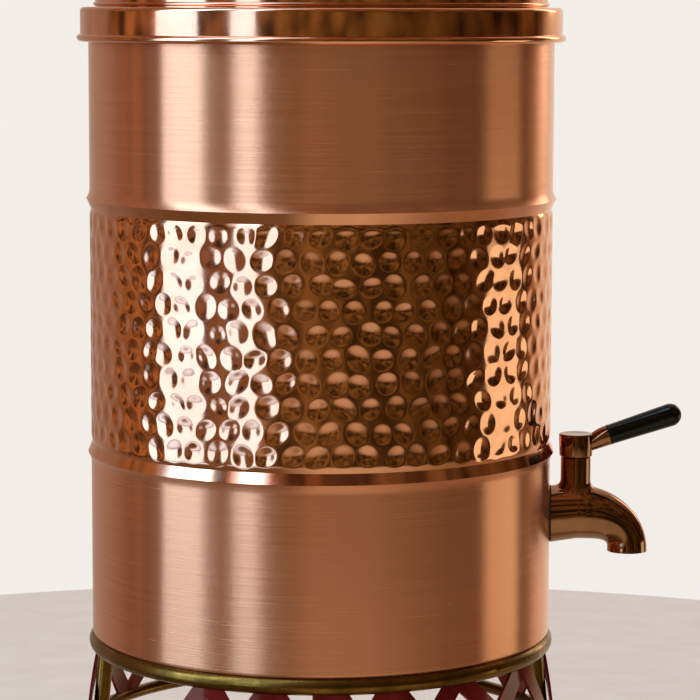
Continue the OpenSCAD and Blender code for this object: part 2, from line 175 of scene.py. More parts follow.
def mesh_object(name, verts, faces, sharp_angle=SHARP_ANGLE):
    """A new smooth-shaded mesh object in the scene."""
    mesh = bpy.data.meshes.new(name)
    mesh.from_pydata(verts, [], faces)
    mesh.validate()
    shade(mesh, sharp_angle)
    obj = bpy.data.objects.new(name, mesh)
    bpy.context.scene.collection.objects.link(obj)
    return obj


def lathe(name, profile, segments, axis=(0.0, 0.0), sharp_angle=SHARP_ANGLE):
    """Turns a profile of (radius, height) points about a vertical axis. A profile that starts and ends on
    the axis is closed by its poles, and any other profile is closed on itself. The number of segments may
    be a list with one number per point, each a multiple of its neighbours or the other way round."""
    poles = profile[0][0] < ON_AXIS and profile[-1][0] < ON_AXIS
    body = profile[1:-1] if poles else profile
    counts = [segments] * len(body) if isinstance(segments, int) else segments
    verts = []
    firsts = []
    for (r, z), count in zip(body, counts):
        firsts.append(len(verts))
        for k in range(count):
            a = 2 * math.pi * k / count
            verts.append((axis[0] + r * math.cos(a), axis[1] + r * math.sin(a), z))
    faces = []
    for j in range(len(body) - 1 if poles else len(body)):
        n = (j + 1) % len(body)
        steps = min(counts[j], counts[n])
        low_step, high_step = counts[j] // steps, counts[n] // steps
        for k in range(steps):
            low = [firsts[j] + (k * low_step + i) % counts[j] for i in range(low_step + 1)]
            high = [firsts[n] + (k * high_step + i) % counts[n] for i in range(high_step + 1)]
            faces.append(tuple(low + high[::-1]))
    if poles:
        bottom, top = len(verts), len(verts) + 1
        verts.append((axis[0], axis[1], profile[0][1]))
        verts.append((axis[0], axis[1], profile[-1][1]))
        for k in range(counts[0]):
            faces.append((bottom, firsts[0] + (k + 1) % counts[0], firsts[0] + k))
        for k in range(counts[-1]):
            faces.append((top, firsts[-1] + k, firsts[-1] + (k + 1) % counts[-1]))
    return mesh_object(name, verts, faces, sharp_angle)


def bar(name, start, end, radius, segments=96):
    """A round bar between two points."""
    start, end = Vector(start), Vector(end)
    length = (end - start).length
    obj = lathe(name, [(0, 0), (radius, 0), (radius, length), (0, length)], segments)
    turn = (end - start).to_track_quat("Z", "Y").to_matrix().to_4x4()
    obj.data.transform(Matrix.Translation(start) @ turn)
    return obj


def combine(target, other, operation):
    """Applies a boolean of two meshes to the first and removes the second."""
    modifier = target.modifiers.new("cut", "BOOLEAN")
    modifier.operation = operation
    modifier.solver = "MANIFOLD"
    modifier.object = other
    depsgraph = bpy.context.evaluated_depsgraph_get()
    result = bpy.data.meshes.new_from_object(target.evaluated_get(depsgraph))
    target.modifiers.clear()
    target.data = result
    bpy.data.objects.remove(other)


def dress(obj, body, slot, *replaced):
    """Lets a piece ride on a body, take a material slot and stand for its CAD nodes."""
    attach(obj, body)
    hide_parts(*replaced)
    obj.data.materials.clear()
    obj.data.materials.append(MATERIALS[slot])


# Materials

def new_material(name):
    material = bpy.data.materials.new(name)
    material.use_nodes = True
    tree = material.node_tree
    return material, tree, tree.nodes["Principled BSDF"]


def link(tree, source, target):
    tree.links.new(source, target)


def math_node(tree, operation, a, b):
    """Arithmetic on two values, each given as a socket or as a plain number."""
    node = tree.nodes.new("ShaderNodeMath")
    node.operation = operation
    for socket, value in zip(node.inputs, (a, b)):
        if isinstance(value, (int, float)):
            socket.default_value = value
        else:
            link(tree, value, socket)
    return node.outputs[0]


def object_coords(tree):
    return tree.nodes.new("ShaderNodeTexCoord").outputs["Object"]


def around_axis_coords(tree, along, up):
    """Coordinates that run around the vessel's axis and up it, each with its own scale."""
    split = tree.nodes.new("ShaderNodeSeparateXYZ")
    link(tree, object_coords(tree), split.inputs[0])
    turn = math_node(tree, "ARCTAN2", split.outputs["Y"], split.outputs["X"])
    join = tree.nodes.new("ShaderNodeCombineXYZ")
    link(tree, math_node(tree, "MULTIPLY", turn, along), join.inputs["X"])
    link(tree, math_node(tree, "MULTIPLY", split.outputs["Z"], up), join.inputs["Z"])
    return join.outputs[0]


def noise(tree, coords, scale, detail, roughness=0.55):
    node = tree.nodes.new("ShaderNodeTexNoise")
    node.inputs["Scale"].default_value = scale
    node.inputs["Detail"].default_value = detail
    node.inputs["Roughness"].default_value = roughness
    link(tree, coords, node.inputs["Vector"])
    return node.outputs["Fac"]


def ramp(tree, factor, low, high, start=0.35, end=0.65):
    """Blends between two colours, or two grey levels, as a factor goes from start to end."""
    node = tree.nodes.new("ShaderNodeValToRGB")
    for element, position, colour in zip(node.color_ramp.elements, (start, end), (low, high)):
        element.position = position
        grey = isinstance(colour, (int, float))
        element.color = (colour, colour, colour, 1) if grey else (*colour, 1)
    link(tree, factor, node.inputs["Fac"])
    return node.outputs["Color"]


def bump(tree, bsdf, height, strength, distance):
    node = tree.nodes.new("ShaderNodeBump")
    node.inputs["Strength"].default_value = strength
    node.inputs["Distance"].default_value = distance
    link(tree, height, node.inputs["Height"])
    link(tree, node.outputs[0], bsdf.inputs["Normal"])


def satin_copper():
    """Copper sheet brushed around the vessel, so that its gloss spreads up and down, with faint tarnish."""
    material, tree, bsdf = new_material("satin_copper")
    brushing = around_axis_coords(tree, along=1.4, up=1500)
    strokes = noise(tree, brushing, scale=1.0, detail=4.0, roughness=0.6)
    clouds = noise(tree, object_coords(tree), scale=12, detail=4.0)
    stroke_share = math_node(tree, "MULTIPLY", strokes, 0.7)
    cloud_share = math_node(tree, "MULTIPLY", clouds, 0.3)
    tone = math_node(tree, "ADD", stroke_share, cloud_share)
    colour = ramp(tree, tone, (0.70, 0.26, 0.125), (0.88, 0.355, 0.19), start=0.32, end=0.68)
    link(tree, colour, bsdf.inputs["Base Color"])
    link(tree, ramp(tree, tone, 0.22, 0.28, start=0.32, end=0.68), bsdf.inputs["Roughness"])
    bsdf.inputs["Metallic"].default_value = 0.88
    bsdf.inputs["Anisotropic"].default_value = 1.0
    bsdf.inputs["Anisotropic Rotation"].default_value = 0.25
    bsdf.inputs["Coat Weight"].default_value = 0.3
    bsdf.inputs["Coat Roughness"].default_value = 0.25
    tangent = tree.nodes.new("ShaderNodeTangent")
    tangent.direction_type = "RADIAL"
    tangent.axis = "Z"
    link(tree, tangent.outputs[0], bsdf.inputs["Tangent"])
    bump(tree, bsdf, strokes, strength=0.15, distance=0.0004)
    return material


def polished_copper(name, low, high, smooth, rough):
    """Mirror-like copper with faint clouds and fine wiping marks."""
    material, tree, bsdf = new_material(name)
    clouds = noise(tree, object_coords(tree), scale=45, detail=4.0)
    wiping = noise(tree, object_coords(tree), scale=160, detail=5.0)
    grain = noise(tree, object_coords(tree), scale=900, detail=2.0)
    link(tree, ramp(tree, clouds, low, high), bsdf.inputs["Base Color"])
    link(tree, ramp(tree, wiping, smooth, rough), bsdf.inputs["Roughness"])
    bsdf.inputs["Metallic"].default_value = 1.0
    bump(tree, bsdf, grain, strength=0.03, distance=0.0001)
    return material


def aged_brass():
    """Antique brass: olive-brown patina that thins to brighter metal."""
    material, tree, bsdf = new_material("aged_brass")
    patina = noise(tree, object_coords(tree), scale=60, detail=6.0, roughness=0.65)
    grain = noise(tree, object_coords(tree), scale=500, detail=3.0)
    colour = ramp(tree, patina, (0.110, 0.050, 0.009), (0.30, 0.148, 0.031), start=0.3, end=0.72)
    link(tree, colour, bsdf.inputs["Base Color"])
    link(tree, ramp(tree, patina, 0.36, 0.20), bsdf.inputs["Roughness"])
    bsdf.inputs["Metallic"].default_value = 1.0
    bump(tree, bsdf, grain, strength=0.15, distance=0.0002)
    return material


def maroon_lacquer():
    """Glossy deep red lacquer over flat metal, a little uneven in depth."""
    material, tree, bsdf = new_material("maroon_lacquer")
    depth = noise(tree, object_coords(tree), scale=70, detail=4.0)
    gloss = noise(tree, object_coords(tree), scale=240, detail=3.0)
    waves = noise(tree, object_coords(tree), scale=320, detail=2.0)
    link(tree, ramp(tree, depth, (0.085, 0.005, 0.004), (0.16, 0.011, 0.009)), bsdf.inputs["Base Color"])
    link(tree, ramp(tree, gloss, 0.06, 0.14), bsdf.inputs["Roughness"])
    bsdf.inputs["Specular Tint"].default_value = (1.0, 0.45, 0.28, 1)
    bump(tree, bsdf, waves, strength=0.06, distance=0.0002)
    return material


def plain_finish(name, low, high, smooth, rough, metallic, grain, grain_depth, specular=0.5):
    """A finish with fine grain in its colour, gloss and surface."""
    material, tree, bsdf = new_material(name)
    speckle = noise(tree, object_coords(tree), scale=grain, detail=5.0)
    link(tree, ramp(tree, speckle, low, high), bsdf.inputs["Base Color"])
    link(tree, ramp(tree, speckle, smooth, rough), bsdf.inputs["Roughness"])
    bsdf.inputs["Metallic"].default_value = metallic
    bsdf.inputs["Specular IOR Level"].default_value = specular
    bump(tree, bsdf, speckle, strength=0.2, distance=grain_depth)
    return material


MATERIALS = {
    "satin_copper": satin_copper(),
    "polished_copper": polished_copper(
        "polished_copper", low=(0.78, 0.335, 0.195), high=(0.86, 0.39, 0.24), smooth=0.08, rough=0.12),
    "tap_copper": polished_copper(
        "tap_copper", low=(0.29, 0.128, 0.064), high=(0.37, 0.17, 0.088), smooth=0.04, rough=0.08),
    "aged_brass": aged_brass(),
    "maroon_lacquer": maroon_lacquer(),
    "seal_rubber": plain_finish(
        "seal_rubber", low=(0.012, 0.011, 0.010), high=(0.03, 0.028, 0.026), smooth=0.6, rough=0.8,
        metallic=0.0, grain=900, grain_depth=2e-4),
    "valve_brass": plain_finish(
        "valve_brass", low=(0.48, 0.34, 0.12), high=(0.62, 0.46, 0.2), smooth=0.2, rough=0.32,
        metallic=1.0, grain=400, grain_depth=1e-4),
    "screw_steel": plain_finish(
        "screw_steel", low=(0.42, 0.42, 0.42), high=(0.58, 0.58, 0.58), smooth=0.25, rough=0.38,
        metallic=1.0, grain=700, grain_depth=1e-4),
    "grip_black": plain_finish(
        "grip_black", low=(0.002,) * 3, high=(0.004,) * 3, smooth=0.05, rough=0.10,
        metallic=0.0, grain=500, grain_depth=2e-5, specular=0.25),
}


# Vessel

def rib_profile(middle, hammered_side):
    """A rib's outer points, bottom to top: hollow flare on the plain side, straight slope on the other."""
    steps = 10
    flare = [(VESSEL_R + RIB_OUT * (i / steps) ** 2, RIB_H / 2 * (i / steps - 1)) for i in range(steps + 1)]
    points = flare + [(VESSEL_R - GROOVE_D, RIB_H / 2)]
    if hammered_side < 0:
        points = [(r, -z) for r, z in reversed(points)]
    return [(r, middle + z) for r, z in points]


def dimple_centres():
    """Angle, height on the wall, half width, half height, lean and depth of each hammer mark."""
    rng = random.Random(DIMPLE_SEED)
    top = RIB_HIGH_Z - RIB_H / 2 - DIMPLE_TOP
    marks = []
    for row in range(DIMPLE_ROWS):
        phase = rng.uniform(-DIMPLE_STAGGER, DIMPLE_STAGGER)
        for k in range(DIMPLES_PER_ROW):
            angle = 2 * math.pi * (k + phase + rng.gauss(0, DIMPLE_TURN)) / DIMPLES_PER_ROW
            z = top - DIMPLE_PITCH * row + rng.gauss(0, DIMPLE_JITTER)
            half_w = DIMPLE_R * rng.uniform(*DIMPLE_SIZES)
            half_h = half_w * (1 + rng.gauss(0, DIMPLE_STRETCH))
            lean = rng.gauss(0, DIMPLE_LEAN)
            deep = DIMPLE_DEPTH * rng.uniform(*DIMPLE_DEPTHS)
            marks.append((angle, z, half_w, half_h, lean, deep))
    return marks


def dimple_field(angles, heights):
    """Depth of the hammering at every angle and height of the band: round dents with soft rims."""
    depth = np.zeros((len(heights), len(angles)))
    for angle, z, half_w, half_h, lean, deep in dimple_centres():
        turn = (angles - angle + math.pi) % (2 * math.pi) - math.pi
        across = turn * VESSEL_R / half_w
        up = (heights - z) / half_h
        patch = np.ix_(np.abs(up) < 1, np.abs(across) < 1 + abs(lean))
        inside = 1 - (across[patch[1]] + lean * up[patch[0]]) ** 2 - up[patch[0]] ** 2
        dent = deep * np.maximum(inside, 0) ** DIMPLE_RIM
        depth[patch] = np.maximum(depth[patch], dent)
    return depth


def band_points(bottom, top, rows):
    """The hammered band's outer points, bottom to top, rounded off into the groove beside each rib."""
    points = []
    for i in range(1, rows):
        z = bottom + (top - bottom) * i / rows
        near = max(0.0, 1 - min(z - bottom, top - z) / GROOVE_H)
        points.append((VESSEL_R - GROOVE_D * near ** GROOVE_CURVE, z))
    return points


def inner_side(outer):
    """The inner points of a stretch of the wall, top to bottom."""
    return [(r - WALL_T, z) for r, z in reversed(outer)]


def hammer(mesh, first, columns, band):
    """Moves a band's points, which lie row by row from a first vertex, inward by the hammer marks' depth."""
    co = np.empty(len(mesh.vertices) * 3)
    mesh.vertices.foreach_get("co", co)
    rows = co[3 * first:3 * (first + columns * len(band))].reshape(len(band), columns, 3)
    angles = 2 * math.pi * np.arange(columns) / columns
    radii = np.array([r for r, z in band])
    radius = radii[:, None] - dimple_field(angles, np.array([z for r, z in band]))
    rows[:, :, 0] = radius * np.cos(angles)
    rows[:, :, 1] = radius * np.sin(angles)
    mesh.vertices.foreach_set("co", co)
    mesh.update()


def polish_band(obj):
    """Gives the hammered band and the slopes of the ribs beside it the polished finish."""
    obj.data.materials.append(MATERIALS["polished_copper"])
    for face in obj.data.polygons:
        if RIB_LOW_Z < face.center.z < RIB_HIGH_Z:
            face.material_index = 1


def vessel_wall():
    """The copper tube: hem, ribs, hammered band and rolled rim, with its inner side."""
    bottom = RIB_LOW_Z + RIB_H / 2
    top = RIB_HIGH_Z - RIB_H / 2
    inner_r = VESSEL_R - WALL_T
    hem_r = VESSEL_R - HEM_W
    rim_r = inner_r + RIM_ROLL_R
    rim_z = RIM_TOP_Z - RIM_ROLL_R
    rim_start = -math.degrees(math.acos((VESSEL_R - rim_r) / RIM_ROLL_R))
    low_rib = rib_profile(RIB_LOW_Z, 1)
    high_rib = rib_profile(RIB_HIGH_Z, -1)
    foot = [(hem_r, SEAT_Z)] + arc(VESSEL_R - HEM_R, SEAT_Z + HEM_R, HEM_R, -90, 0, steps=8) + low_rib
    outer_band = band_points(bottom, top, BAND_ROWS)
    rim = high_rib + arc(rim_r, rim_z, RIM_ROLL_R, rim_start, 180, steps=16) + inner_side(high_rib)
    inner_band = inner_side(band_points(bottom, top, INNER_ROWS))
    sole = inner_side(low_rib) + [(inner_r, SEAT_Z + WALL_T), (hem_r, SEAT_Z + WALL_T)]
    profile = foot + outer_band + rim + inner_band + sole
    counts = [WALL_COLUMNS] * len(profile)
    outer_row = len(foot)
    inner_row = outer_row + len(outer_band) + len(rim)
    counts[outer_row:outer_row + len(outer_band)] = [BAND_COLUMNS] * len(outer_band)
    obj = lathe("vessel_shell", profile, counts, sharp_angle=22)
    hammer(obj.data, sum(counts[:outer_row]), BAND_COLUMNS, outer_band)
    hammer(obj.data, sum(counts[:inner_row]), WALL_COLUMNS, inner_band)
    hole_start = (VESSEL_R / 2, 0, TAP_Z)
    hole_end = (VESSEL_R * 1.1, 0, TAP_Z)
    combine(obj, bar("shank_hole", hole_start, hole_end, SHANK_R + SHANK_GAP), "DIFFERENCE")
    dress(obj, "vessel", "satin_copper", "vessel_wall")
    polish_band(obj)


# Lid

def lid_shell():
    """The stepped lid: beaded skirt, flat shoulder, tier and low dome."""
    sheet = 1.0 * MM
    bead_r = 1.8 * MM
    bead_out = 1.6 * MM
    corner_r = 1.8 * MM
    shoulder_w = 7.1 * MM
    tier_h = 10 * MM
    tier_bead_r = 0.9 * MM
    tier_corner_r = 2.5 * MM
    seat_r = 11 * MM
    hole_r = 2.55 * MM
    rim_gap = 0.3 * MM
    out_r = lid_high.x - bead_out
    in_r = out_r - sheet
    top_z = RIM_TOP_Z + rim_gap + sheet
    bead_c = lid_high.x - bead_r
    bead_z = lid_low.z + bead_r
    start = -math.degrees(math.acos((in_r - bead_c) / bead_r))
    end = math.degrees(math.acos((out_r - bead_c) / bead_r))
    tier_r = out_r - shoulder_w
    tier_top = top_z + tier_h
    edge_r = tier_r - tier_corner_r
    dome_h = lid_high.z - tier_top
    steps = 24
    dome = [(seat_r + (edge_r - seat_r) * (1 - i / steps), lid_high.z - dome_h * (1 - i / steps) ** 2)
            for i in range(steps + 1)]
    under = [(r, z - sheet) for r, z in reversed(dome)]
    profile = (
        [(hole_r, lid_high.z - sheet)] + under
        + [(tier_r - sheet, tier_top - tier_corner_r), (tier_r - sheet, top_z - sheet), (in_r, top_z - sheet)]
        + arc(bead_c, bead_z, bead_r, start, end, steps=20)
        + arc(out_r - corner_r, top_z - corner_r, corner_r, 0, 90, steps=10)
        + [(tier_r, top_z)]
        + arc(tier_r, top_z + tier_bead_r + sheet / 2, tier_bead_r, -90, 90, steps=12)
        + arc(edge_r, tier_top - tier_corner_r, tier_corner_r, 0, 80, steps=10)
        + dome + [(hole_r, lid_high.z)]
    )
    obj = lathe("lid_cap", profile, segments=256, sharp_angle=32)
    dress(obj, "lid", "polished_copper", "lid_shell")


# Tap

def spout_section(t):
    """Outer and inner point of the spout in the XZ plane, at a turn from level (0) to straight down (90)."""
    s = math.sin(math.radians(t))
    c = max(math.cos(math.radians(t)), 0)
    outer = Vector((TURRET_X + SPOUT_REACH * s, MOUTH_Z + (BEND_Z + BEND_R - MOUTH_Z) * c))
    inner_x = TURRET_X + (SPOUT_REACH - 2 * MOUTH_R) * math.sqrt(s)
    return outer, Vector((inner_x, MOUTH_Z + (BEND_Z - BEND_R - MOUTH_Z) * math.sqrt(c)))


def spout():
    """The swept outside of the tap, from the wall to the mouth."""
    sections = 56
    sides = 96
    root_x = VESSEL_R - ROOT_DEPTH
    rings = [(Vector((root_x, ROOT_Z + ROOT_R)), Vector((root_x, ROOT_Z - ROOT_R)))]
    rings += [spout_section(90 * math.sin(math.pi / 2 * i / sections) ** 2) for i in range(sections + 1)]
    rings.append(tuple(point - Vector((0, LIP_H)) for point in rings[-1]))
    verts = []
    for outer, inner in rings:
        mid = (outer + inner) / 2
        half = (outer - inner) / 2
        for k in range(sides):
            a = 2 * math.pi * k / sides
            side = half.length * math.sin(a)
            verts.append((mid.x + half.x * math.cos(a), side, mid.y + half.y * math.cos(a)))
    faces = []
    for j in range(len(rings) - 1):
        for k in range(sides):
            n = (k + 1) % sides
            faces.append((j * sides + k, (j + 1) * sides + k, (j + 1) * sides + n, j * sides + n))
    last = (len(rings) - 1) * sides
    faces.append(tuple(range(sides)))
    faces.append(tuple(last + k for k in reversed(range(sides))))
    return mesh_object("tap_spout", verts, faces)


def spout_top(x, y):
    """Height of the spout's upper side near the turret."""
    s = max(0.0, (x - TURRET_X) / SPOUT_REACH)
    ridge = MOUTH_Z + (BEND_Z + BEND_R - MOUTH_Z) * math.sqrt(1 - s * s)
    return ridge - BEND_R + math.sqrt(max(BEND_R ** 2 - y * y, 0))


def turret():
    """The upright neck, with a fillet that follows the top of the spout."""
    sides = 96
    steps = 10
    sink = 0.15 * MM
    skirt = 2 * MM
    edge = 0.4 * MM
    foot_r = TURRET_R + NECK_FILLET
    columns = []
    for k in range(sides):
        a = 2 * math.pi * k / sides
        ca, sa = math.cos(a), math.sin(a)
        foot = Vector((foot_r, spout_top(TURRET_X + foot_r * ca, foot_r * sa) - sink))
        corner = Vector((TURRET_R, spout_top(TURRET_X + TURRET_R * ca, TURRET_R * sa)))
        rise = Vector((TURRET_R, corner.y + NECK_FILLET))
        curve = [(1 - u) ** 2 * foot + 2 * u * (1 - u) * corner + u * u * rise
                 for u in (i / steps for i in range(steps + 1))]
        column = [Vector((TURRET_R / 2, TAP_Z)), Vector((foot_r, foot.y - skirt))] + curve
        column += [Vector((TURRET_R, tap_high.z - edge)), Vector((TURRET_R - edge, tap_high.z))]
        columns.append([(TURRET_X + p.x * ca, p.x * sa, p.y) for p in column])
    rows = len(columns[0])
    verts = [columns[k][j] for j in range(rows) for k in range(sides)]
    faces = []
    for j in range(rows - 1):
        for k in range(sides):
            n = (k + 1) % sides
            faces.append((j * sides + k, j * sides + n, (j + 1) * sides + n, (j + 1) * sides + k))
    faces.append(tuple(reversed(range(sides))))
    faces.append(tuple((rows - 1) * sides + k for k in range(sides)))
    return mesh_object("tap_turret", verts, faces)


def tap_body():
    """The tap's casting: spout, turret and shank, with its inlet, valve bore and outlet."""
    body = spout()
    seat = bar("wall_curve", (0, 0, SEAT_Z), (0, 0, RIM_TOP_Z), VESSEL_R + GASKET_T, segments=720)
    combine(body, seat, "DIFFERENCE")
    shank = bar("shank", (tap_low.x, 0, TAP_Z), (VESSEL_R + SHANK_OVERLAP, 0, TAP_Z), SHANK_R)
    combine(body, shank, "UNION")
    combine(body, turret(), "UNION")
    mouth_x = TURRET_X + SPOUT_REACH - MOUTH_R
    cuts = (
        ((tap_low.x - MM, 0, TAP_Z), (TURRET_X, 0, TAP_Z), INLET_R),
        ((TURRET_X, 0, plug_low.z), (TURRET_X, 0, tap_high.z + MM), PLUG_BORE_R),
        ((mouth_x, 0, tap_low.z - MM), (mouth_x, 0, tap_low.z + OUTLET_DEPTH), OUTLET_R),
    )
    for start, end, radius in cuts:
        combine(body, bar("bore", start, end, radius), "DIFFERENCE")
    body.name = "tap_casting"
    shade(body.data, sharp_angle=32)
    dress(body, "vessel", "tap_copper", "tap_body")


def along_lever(obj):
    """Turns a piece made along +Z so that it runs along the lever from the turret's axis."""
    turn = Matrix.Rotation(math.radians(90 - LEVER_TILT), 4, "Y")
    obj.data.transform(Matrix.Translation((TURRET_X, 0, LEVER_Z)) @ turn)


def tap_handle():
    """The turned hub and the lever that widens towards its sleeve."""
    edge = 0.6 * MM
    taper = 0.3 * MM
    dish = 0.25 * MM
    dish_out_r = HUB_R * 0.75
    dish_in_r = HUB_R * 0.55
    low = hub_low.z
    top = low + HUB_H
    hub = lathe("tap_lever", (
        [(0, low), (HUB_R - taper - edge, low)]
        + arc(HUB_R - taper - edge, low + edge, edge, -90, 0, steps=5)
        + arc(HUB_R - edge, top - edge, edge, 0, 90, steps=6)
        + [(dish_out_r, top), (dish_in_r, top - dish), (0, top - dish)]
    ), segments=96, axis=(TURRET_X, 0))
    steps = 16
    swell = []
    for i in range(steps + 1):
        u = i / steps
        radius = LEVER_R + (GRIP_ROOT_R - LEVER_R) * (1 - (1 - u) ** 2)
        swell.append((radius, LEVER_NECK + (LEVER_ROOT - LEVER_NECK) * u))
    core_end = LEVER_ROOT + GRIP_LEN - CORE_SHORT
    lever = lathe("lever", (
        [(0, 0), (LEVER_R, 0)] + swell
        + [(CORE_R, LEVER_ROOT), (CORE_R, core_end), (0, core_end)]
    ), segments=64)
    for vertex in lever.data.vertices:
        u = min(max((vertex.co.z - LEVER_NECK) / (LEVER_ROOT - LEVER_NECK), 0), 1)
        vertex.co.x += (GRIP_ROOT_R - LEVER_R) * (1 - u) ** 2
    along_lever(lever)
    combine(hub, lever, "UNION")
    stem_bore = bar("stem_bore", (TURRET_X, 0, low - MM), (TURRET_X, 0, low + STEM_DEPTH), STEM_R)
    combine(hub, stem_bore, "DIFFERENCE")
    middle = low + HUB_H / 2
    screw_hole = bar("screw_hole", (TURRET_X, 0, middle), (TURRET_X, 2 * HUB_R, middle), SCREW_HOLE_R)
    combine(hub, screw_hole, "DIFFERENCE")
    shade(hub.data, sharp_angle=32)
    dress(hub, "tap_valve", "tap_copper", "tap_handle")


def lever_grip():
    """The dipped sleeve with its soft lip and round end."""
    lip = 0.5 * MM
    lip_out = 0.2 * MM
    lip_end = LEVER_ROOT + 2.2 * lip
    bore_r = CORE_R + BORE_GAP
    bore_end = LEVER_ROOT + GRIP_LEN - BORE_SHORT
    sleeve = lathe("lever_sleeve", (
        [(0, bore_end), (bore_r, bore_end), (bore_r, LEVER_ROOT)]
        + arc(GRIP_ROOT_R + lip_out - lip, LEVER_ROOT + lip, lip, -90, 0, steps=5)
        + [(GRIP_ROOT_R, lip_end)]
        + arc(0, LEVER_ROOT + GRIP_LEN, GRIP_END_R, 0, 90, steps=20)
    ), segments=96)
    along_lever(sleeve)
    dress(sleeve, "tap_valve", "grip_black", "lever_grip")


# Carried CAD nodes

def dress_carried_nodes():
    """Puts its slot's material on each CAD node. Those that a piece replaces don't show."""
    slots = {part["node"]: part["material_slot"] for part in frame["record"]["subparts"]}
    for name, obj in nodes.items():
        obj.data.materials.clear()
        obj.data.materials.append(MATERIALS[slots[name]])


# Stage, light and camera

def stage_floor():
    """A round pale table top whose far edge shows behind the vessel."""
    far_edge = 0.84
    near_edge = -0.56
    depth = 0.03
    radius = (far_edge - near_edge) / 2
    middle = (far_edge + near_edge) / 2
    profile = [(0, -depth), (radius, -depth), (radius, 0), (0, 0)]
    floor = lathe("table_top", profile, segments=128, axis=(0, middle))
    material, tree, bsdf = new_material("table_cloth")
    weave = noise(tree, object_coords(tree), scale=30, detail=4.0)
    link(tree, ramp(tree, weave, (0.785, 0.68, 0.62), (0.835, 0.73, 0.67)), bsdf.inputs["Base Color"])
    bsdf.inputs["Roughness"].default_value = 0.7
    floor.data.materials.append(material)
    floor.visible_glossy = False


# Light by direction, in degrees from the camera's side towards the tap: around the horizon, on the floor
# far away and close by, and overhead
ROOM = (
    (-180, (0.84, 0.78, 0.71)),
    (-164, (0.43, 0.33, 0.26)),
    (-123, (0.33, 0.245, 0.18)),
    (-116, (0.24, 0.132, 0.047)),
    (-88, (0.21, 0.114, 0.042)),
    (-51, (0.14, 0.085, 0.042)),
    (-26, (0.145, 0.096, 0.034)),
    (10, (0.118, 0.079, 0.023)),
    (40, (0.072, 0.047, 0.011)),
    (85, (0.048, 0.025, 0.007)),
    (118, (0.085, 0.042, 0.011)),
    (128, (0.19, 0.11, 0.045)),
    (136, (0.72, 0.57, 0.38)),
    (150, (0.82, 0.68, 0.49)),
    (180, (0.84, 0.78, 0.71)),
)
FLOOR_FAR = (
    (-180, (0.66, 0.62, 0.56)),
    (-130, (0.20, 0.12, 0.07)),
    (-112, (0.10, 0.055, 0.022)),
    (-92, (0.14, 0.08, 0.035)),
    (-84, (2.40, 4.40, 6.80)),
    (-58, (2.40, 4.40, 6.80)),
    (-54, (0.42, 0.20, 0.08)),
    (-49, (0.42, 0.20, 0.08)),
    (-44, (2.20, 4.00, 6.00)),
    (-31, (2.00, 3.40, 5.00)),
    (-20, (0.82, 0.74, 0.52)),
    (25, (0.82, 0.73, 0.51)),
    (70, (0.32, 0.23, 0.125)),
    (95, (0.30, 0.185, 0.085)),
    (118, (0.26, 0.155, 0.07)),
    (150, (0.62, 0.53, 0.41)),
    (180, (0.66, 0.62, 0.56)),
)
FLOOR_NEAR = (
    (-180, (0.50, 0.46, 0.41)),
    (-110, (0.20, 0.14, 0.09)),
    (-80, (0.17, 0.125, 0.065)),
    (-22, (0.20, 0.15, 0.08)),
    (-2, (0.62, 0.58, 0.42)),
    (30, (0.62, 0.56, 0.40)),
    (70, (0.32, 0.23, 0.125)),
    (100, (0.32, 0.22, 0.12)),
    (150, (0.50, 0.42, 0.32)),
    (180, (0.50, 0.46, 0.41)),
)
CEILING = (
    (-180, (0.74, 0.69, 0.62)),
    (-125, (0.22, 0.13, 0.07)),
    (-92, (0.30, 0.19, 0.10)),
    (-82, (2.00, 3.40, 4.90)),
    (-60, (2.00, 3.40, 4.90)),
    (-55, (0.34, 0.20, 0.10)),
    (-49, (0.34, 0.20, 0.10)),
    (-42, (1.80, 3.00, 4.30)),
    (-33, (1.80, 3.00, 4.30)),
    (-27, (0.26, 0.13, 0.05)),
    (40, (0.15, 0.09, 0.04)),
    (110, (0.13, 0.075, 0.03)),
    (140, (0.60, 0.50, 0.36)),
    (180, (0.74, 0.69, 0.62)),
)
# How much of the walls shows as dark and bright clutter, by the same directions, and its brightness
CLUTTER = (
    (-180, (0.10, 0.10, 0.10)),
    (-122, (0.10, 0.10, 0.10)),
    (-112, (1.0, 1.0, 1.0)),
    (124, (1.0, 1.0, 1.0)),
    (136, (0.10, 0.10, 0.10)),
    (180, (0.10, 0.10, 0.10)),
)
CLUTTER_GAIN = 2.1
# Heights of the soft edges of the floor, of the floor close by and of the ceiling: 0 is straight down, 0.5
# the horizon and 1 straight up
FLOOR_EDGE = (0.295, 0.395)
NEAR_EDGE = (0.30, 0.345)
CEILING_EDGE = (0.64, 0.78)
# Light on everything but gloss, and what the camera sees behind the table
AMBIENT = (0.42, 0.40, 0.39)
BACKDROP = (0.90, 0.85, 0.81)


def direction_ramp(tree, share, stops):
    """A colour ramp over the share of a full turn."""
    node = tree.nodes.new("ShaderNodeValToRGB")
    elements = node.color_ramp.elements
    while len(elements) < len(stops):
        elements.new(0.5)
    for element, (azimuth, colour) in zip(elements, stops):
        element.position = (azimuth + 180) / 360
        element.color = (*colour, 1)
    link(tree, share, node.inputs["Fac"])
    return node.outputs["Color"]


def blend_colours(tree, factor, first, second, blend_type="MIX"):
    """Mixes two colour sockets of a node tree."""
    node = tree.nodes.new("ShaderNodeMix")
    node.data_type = "RGBA"
    node.blend_type = blend_type
    sockets = [socket for socket in node.inputs if socket.name in ("Factor", "A", "B") and socket.enabled]
    for socket, source in zip(sockets, (factor, first, second)):
        link(tree, source, socket)
    return next(socket for socket in node.outputs if socket.enabled)


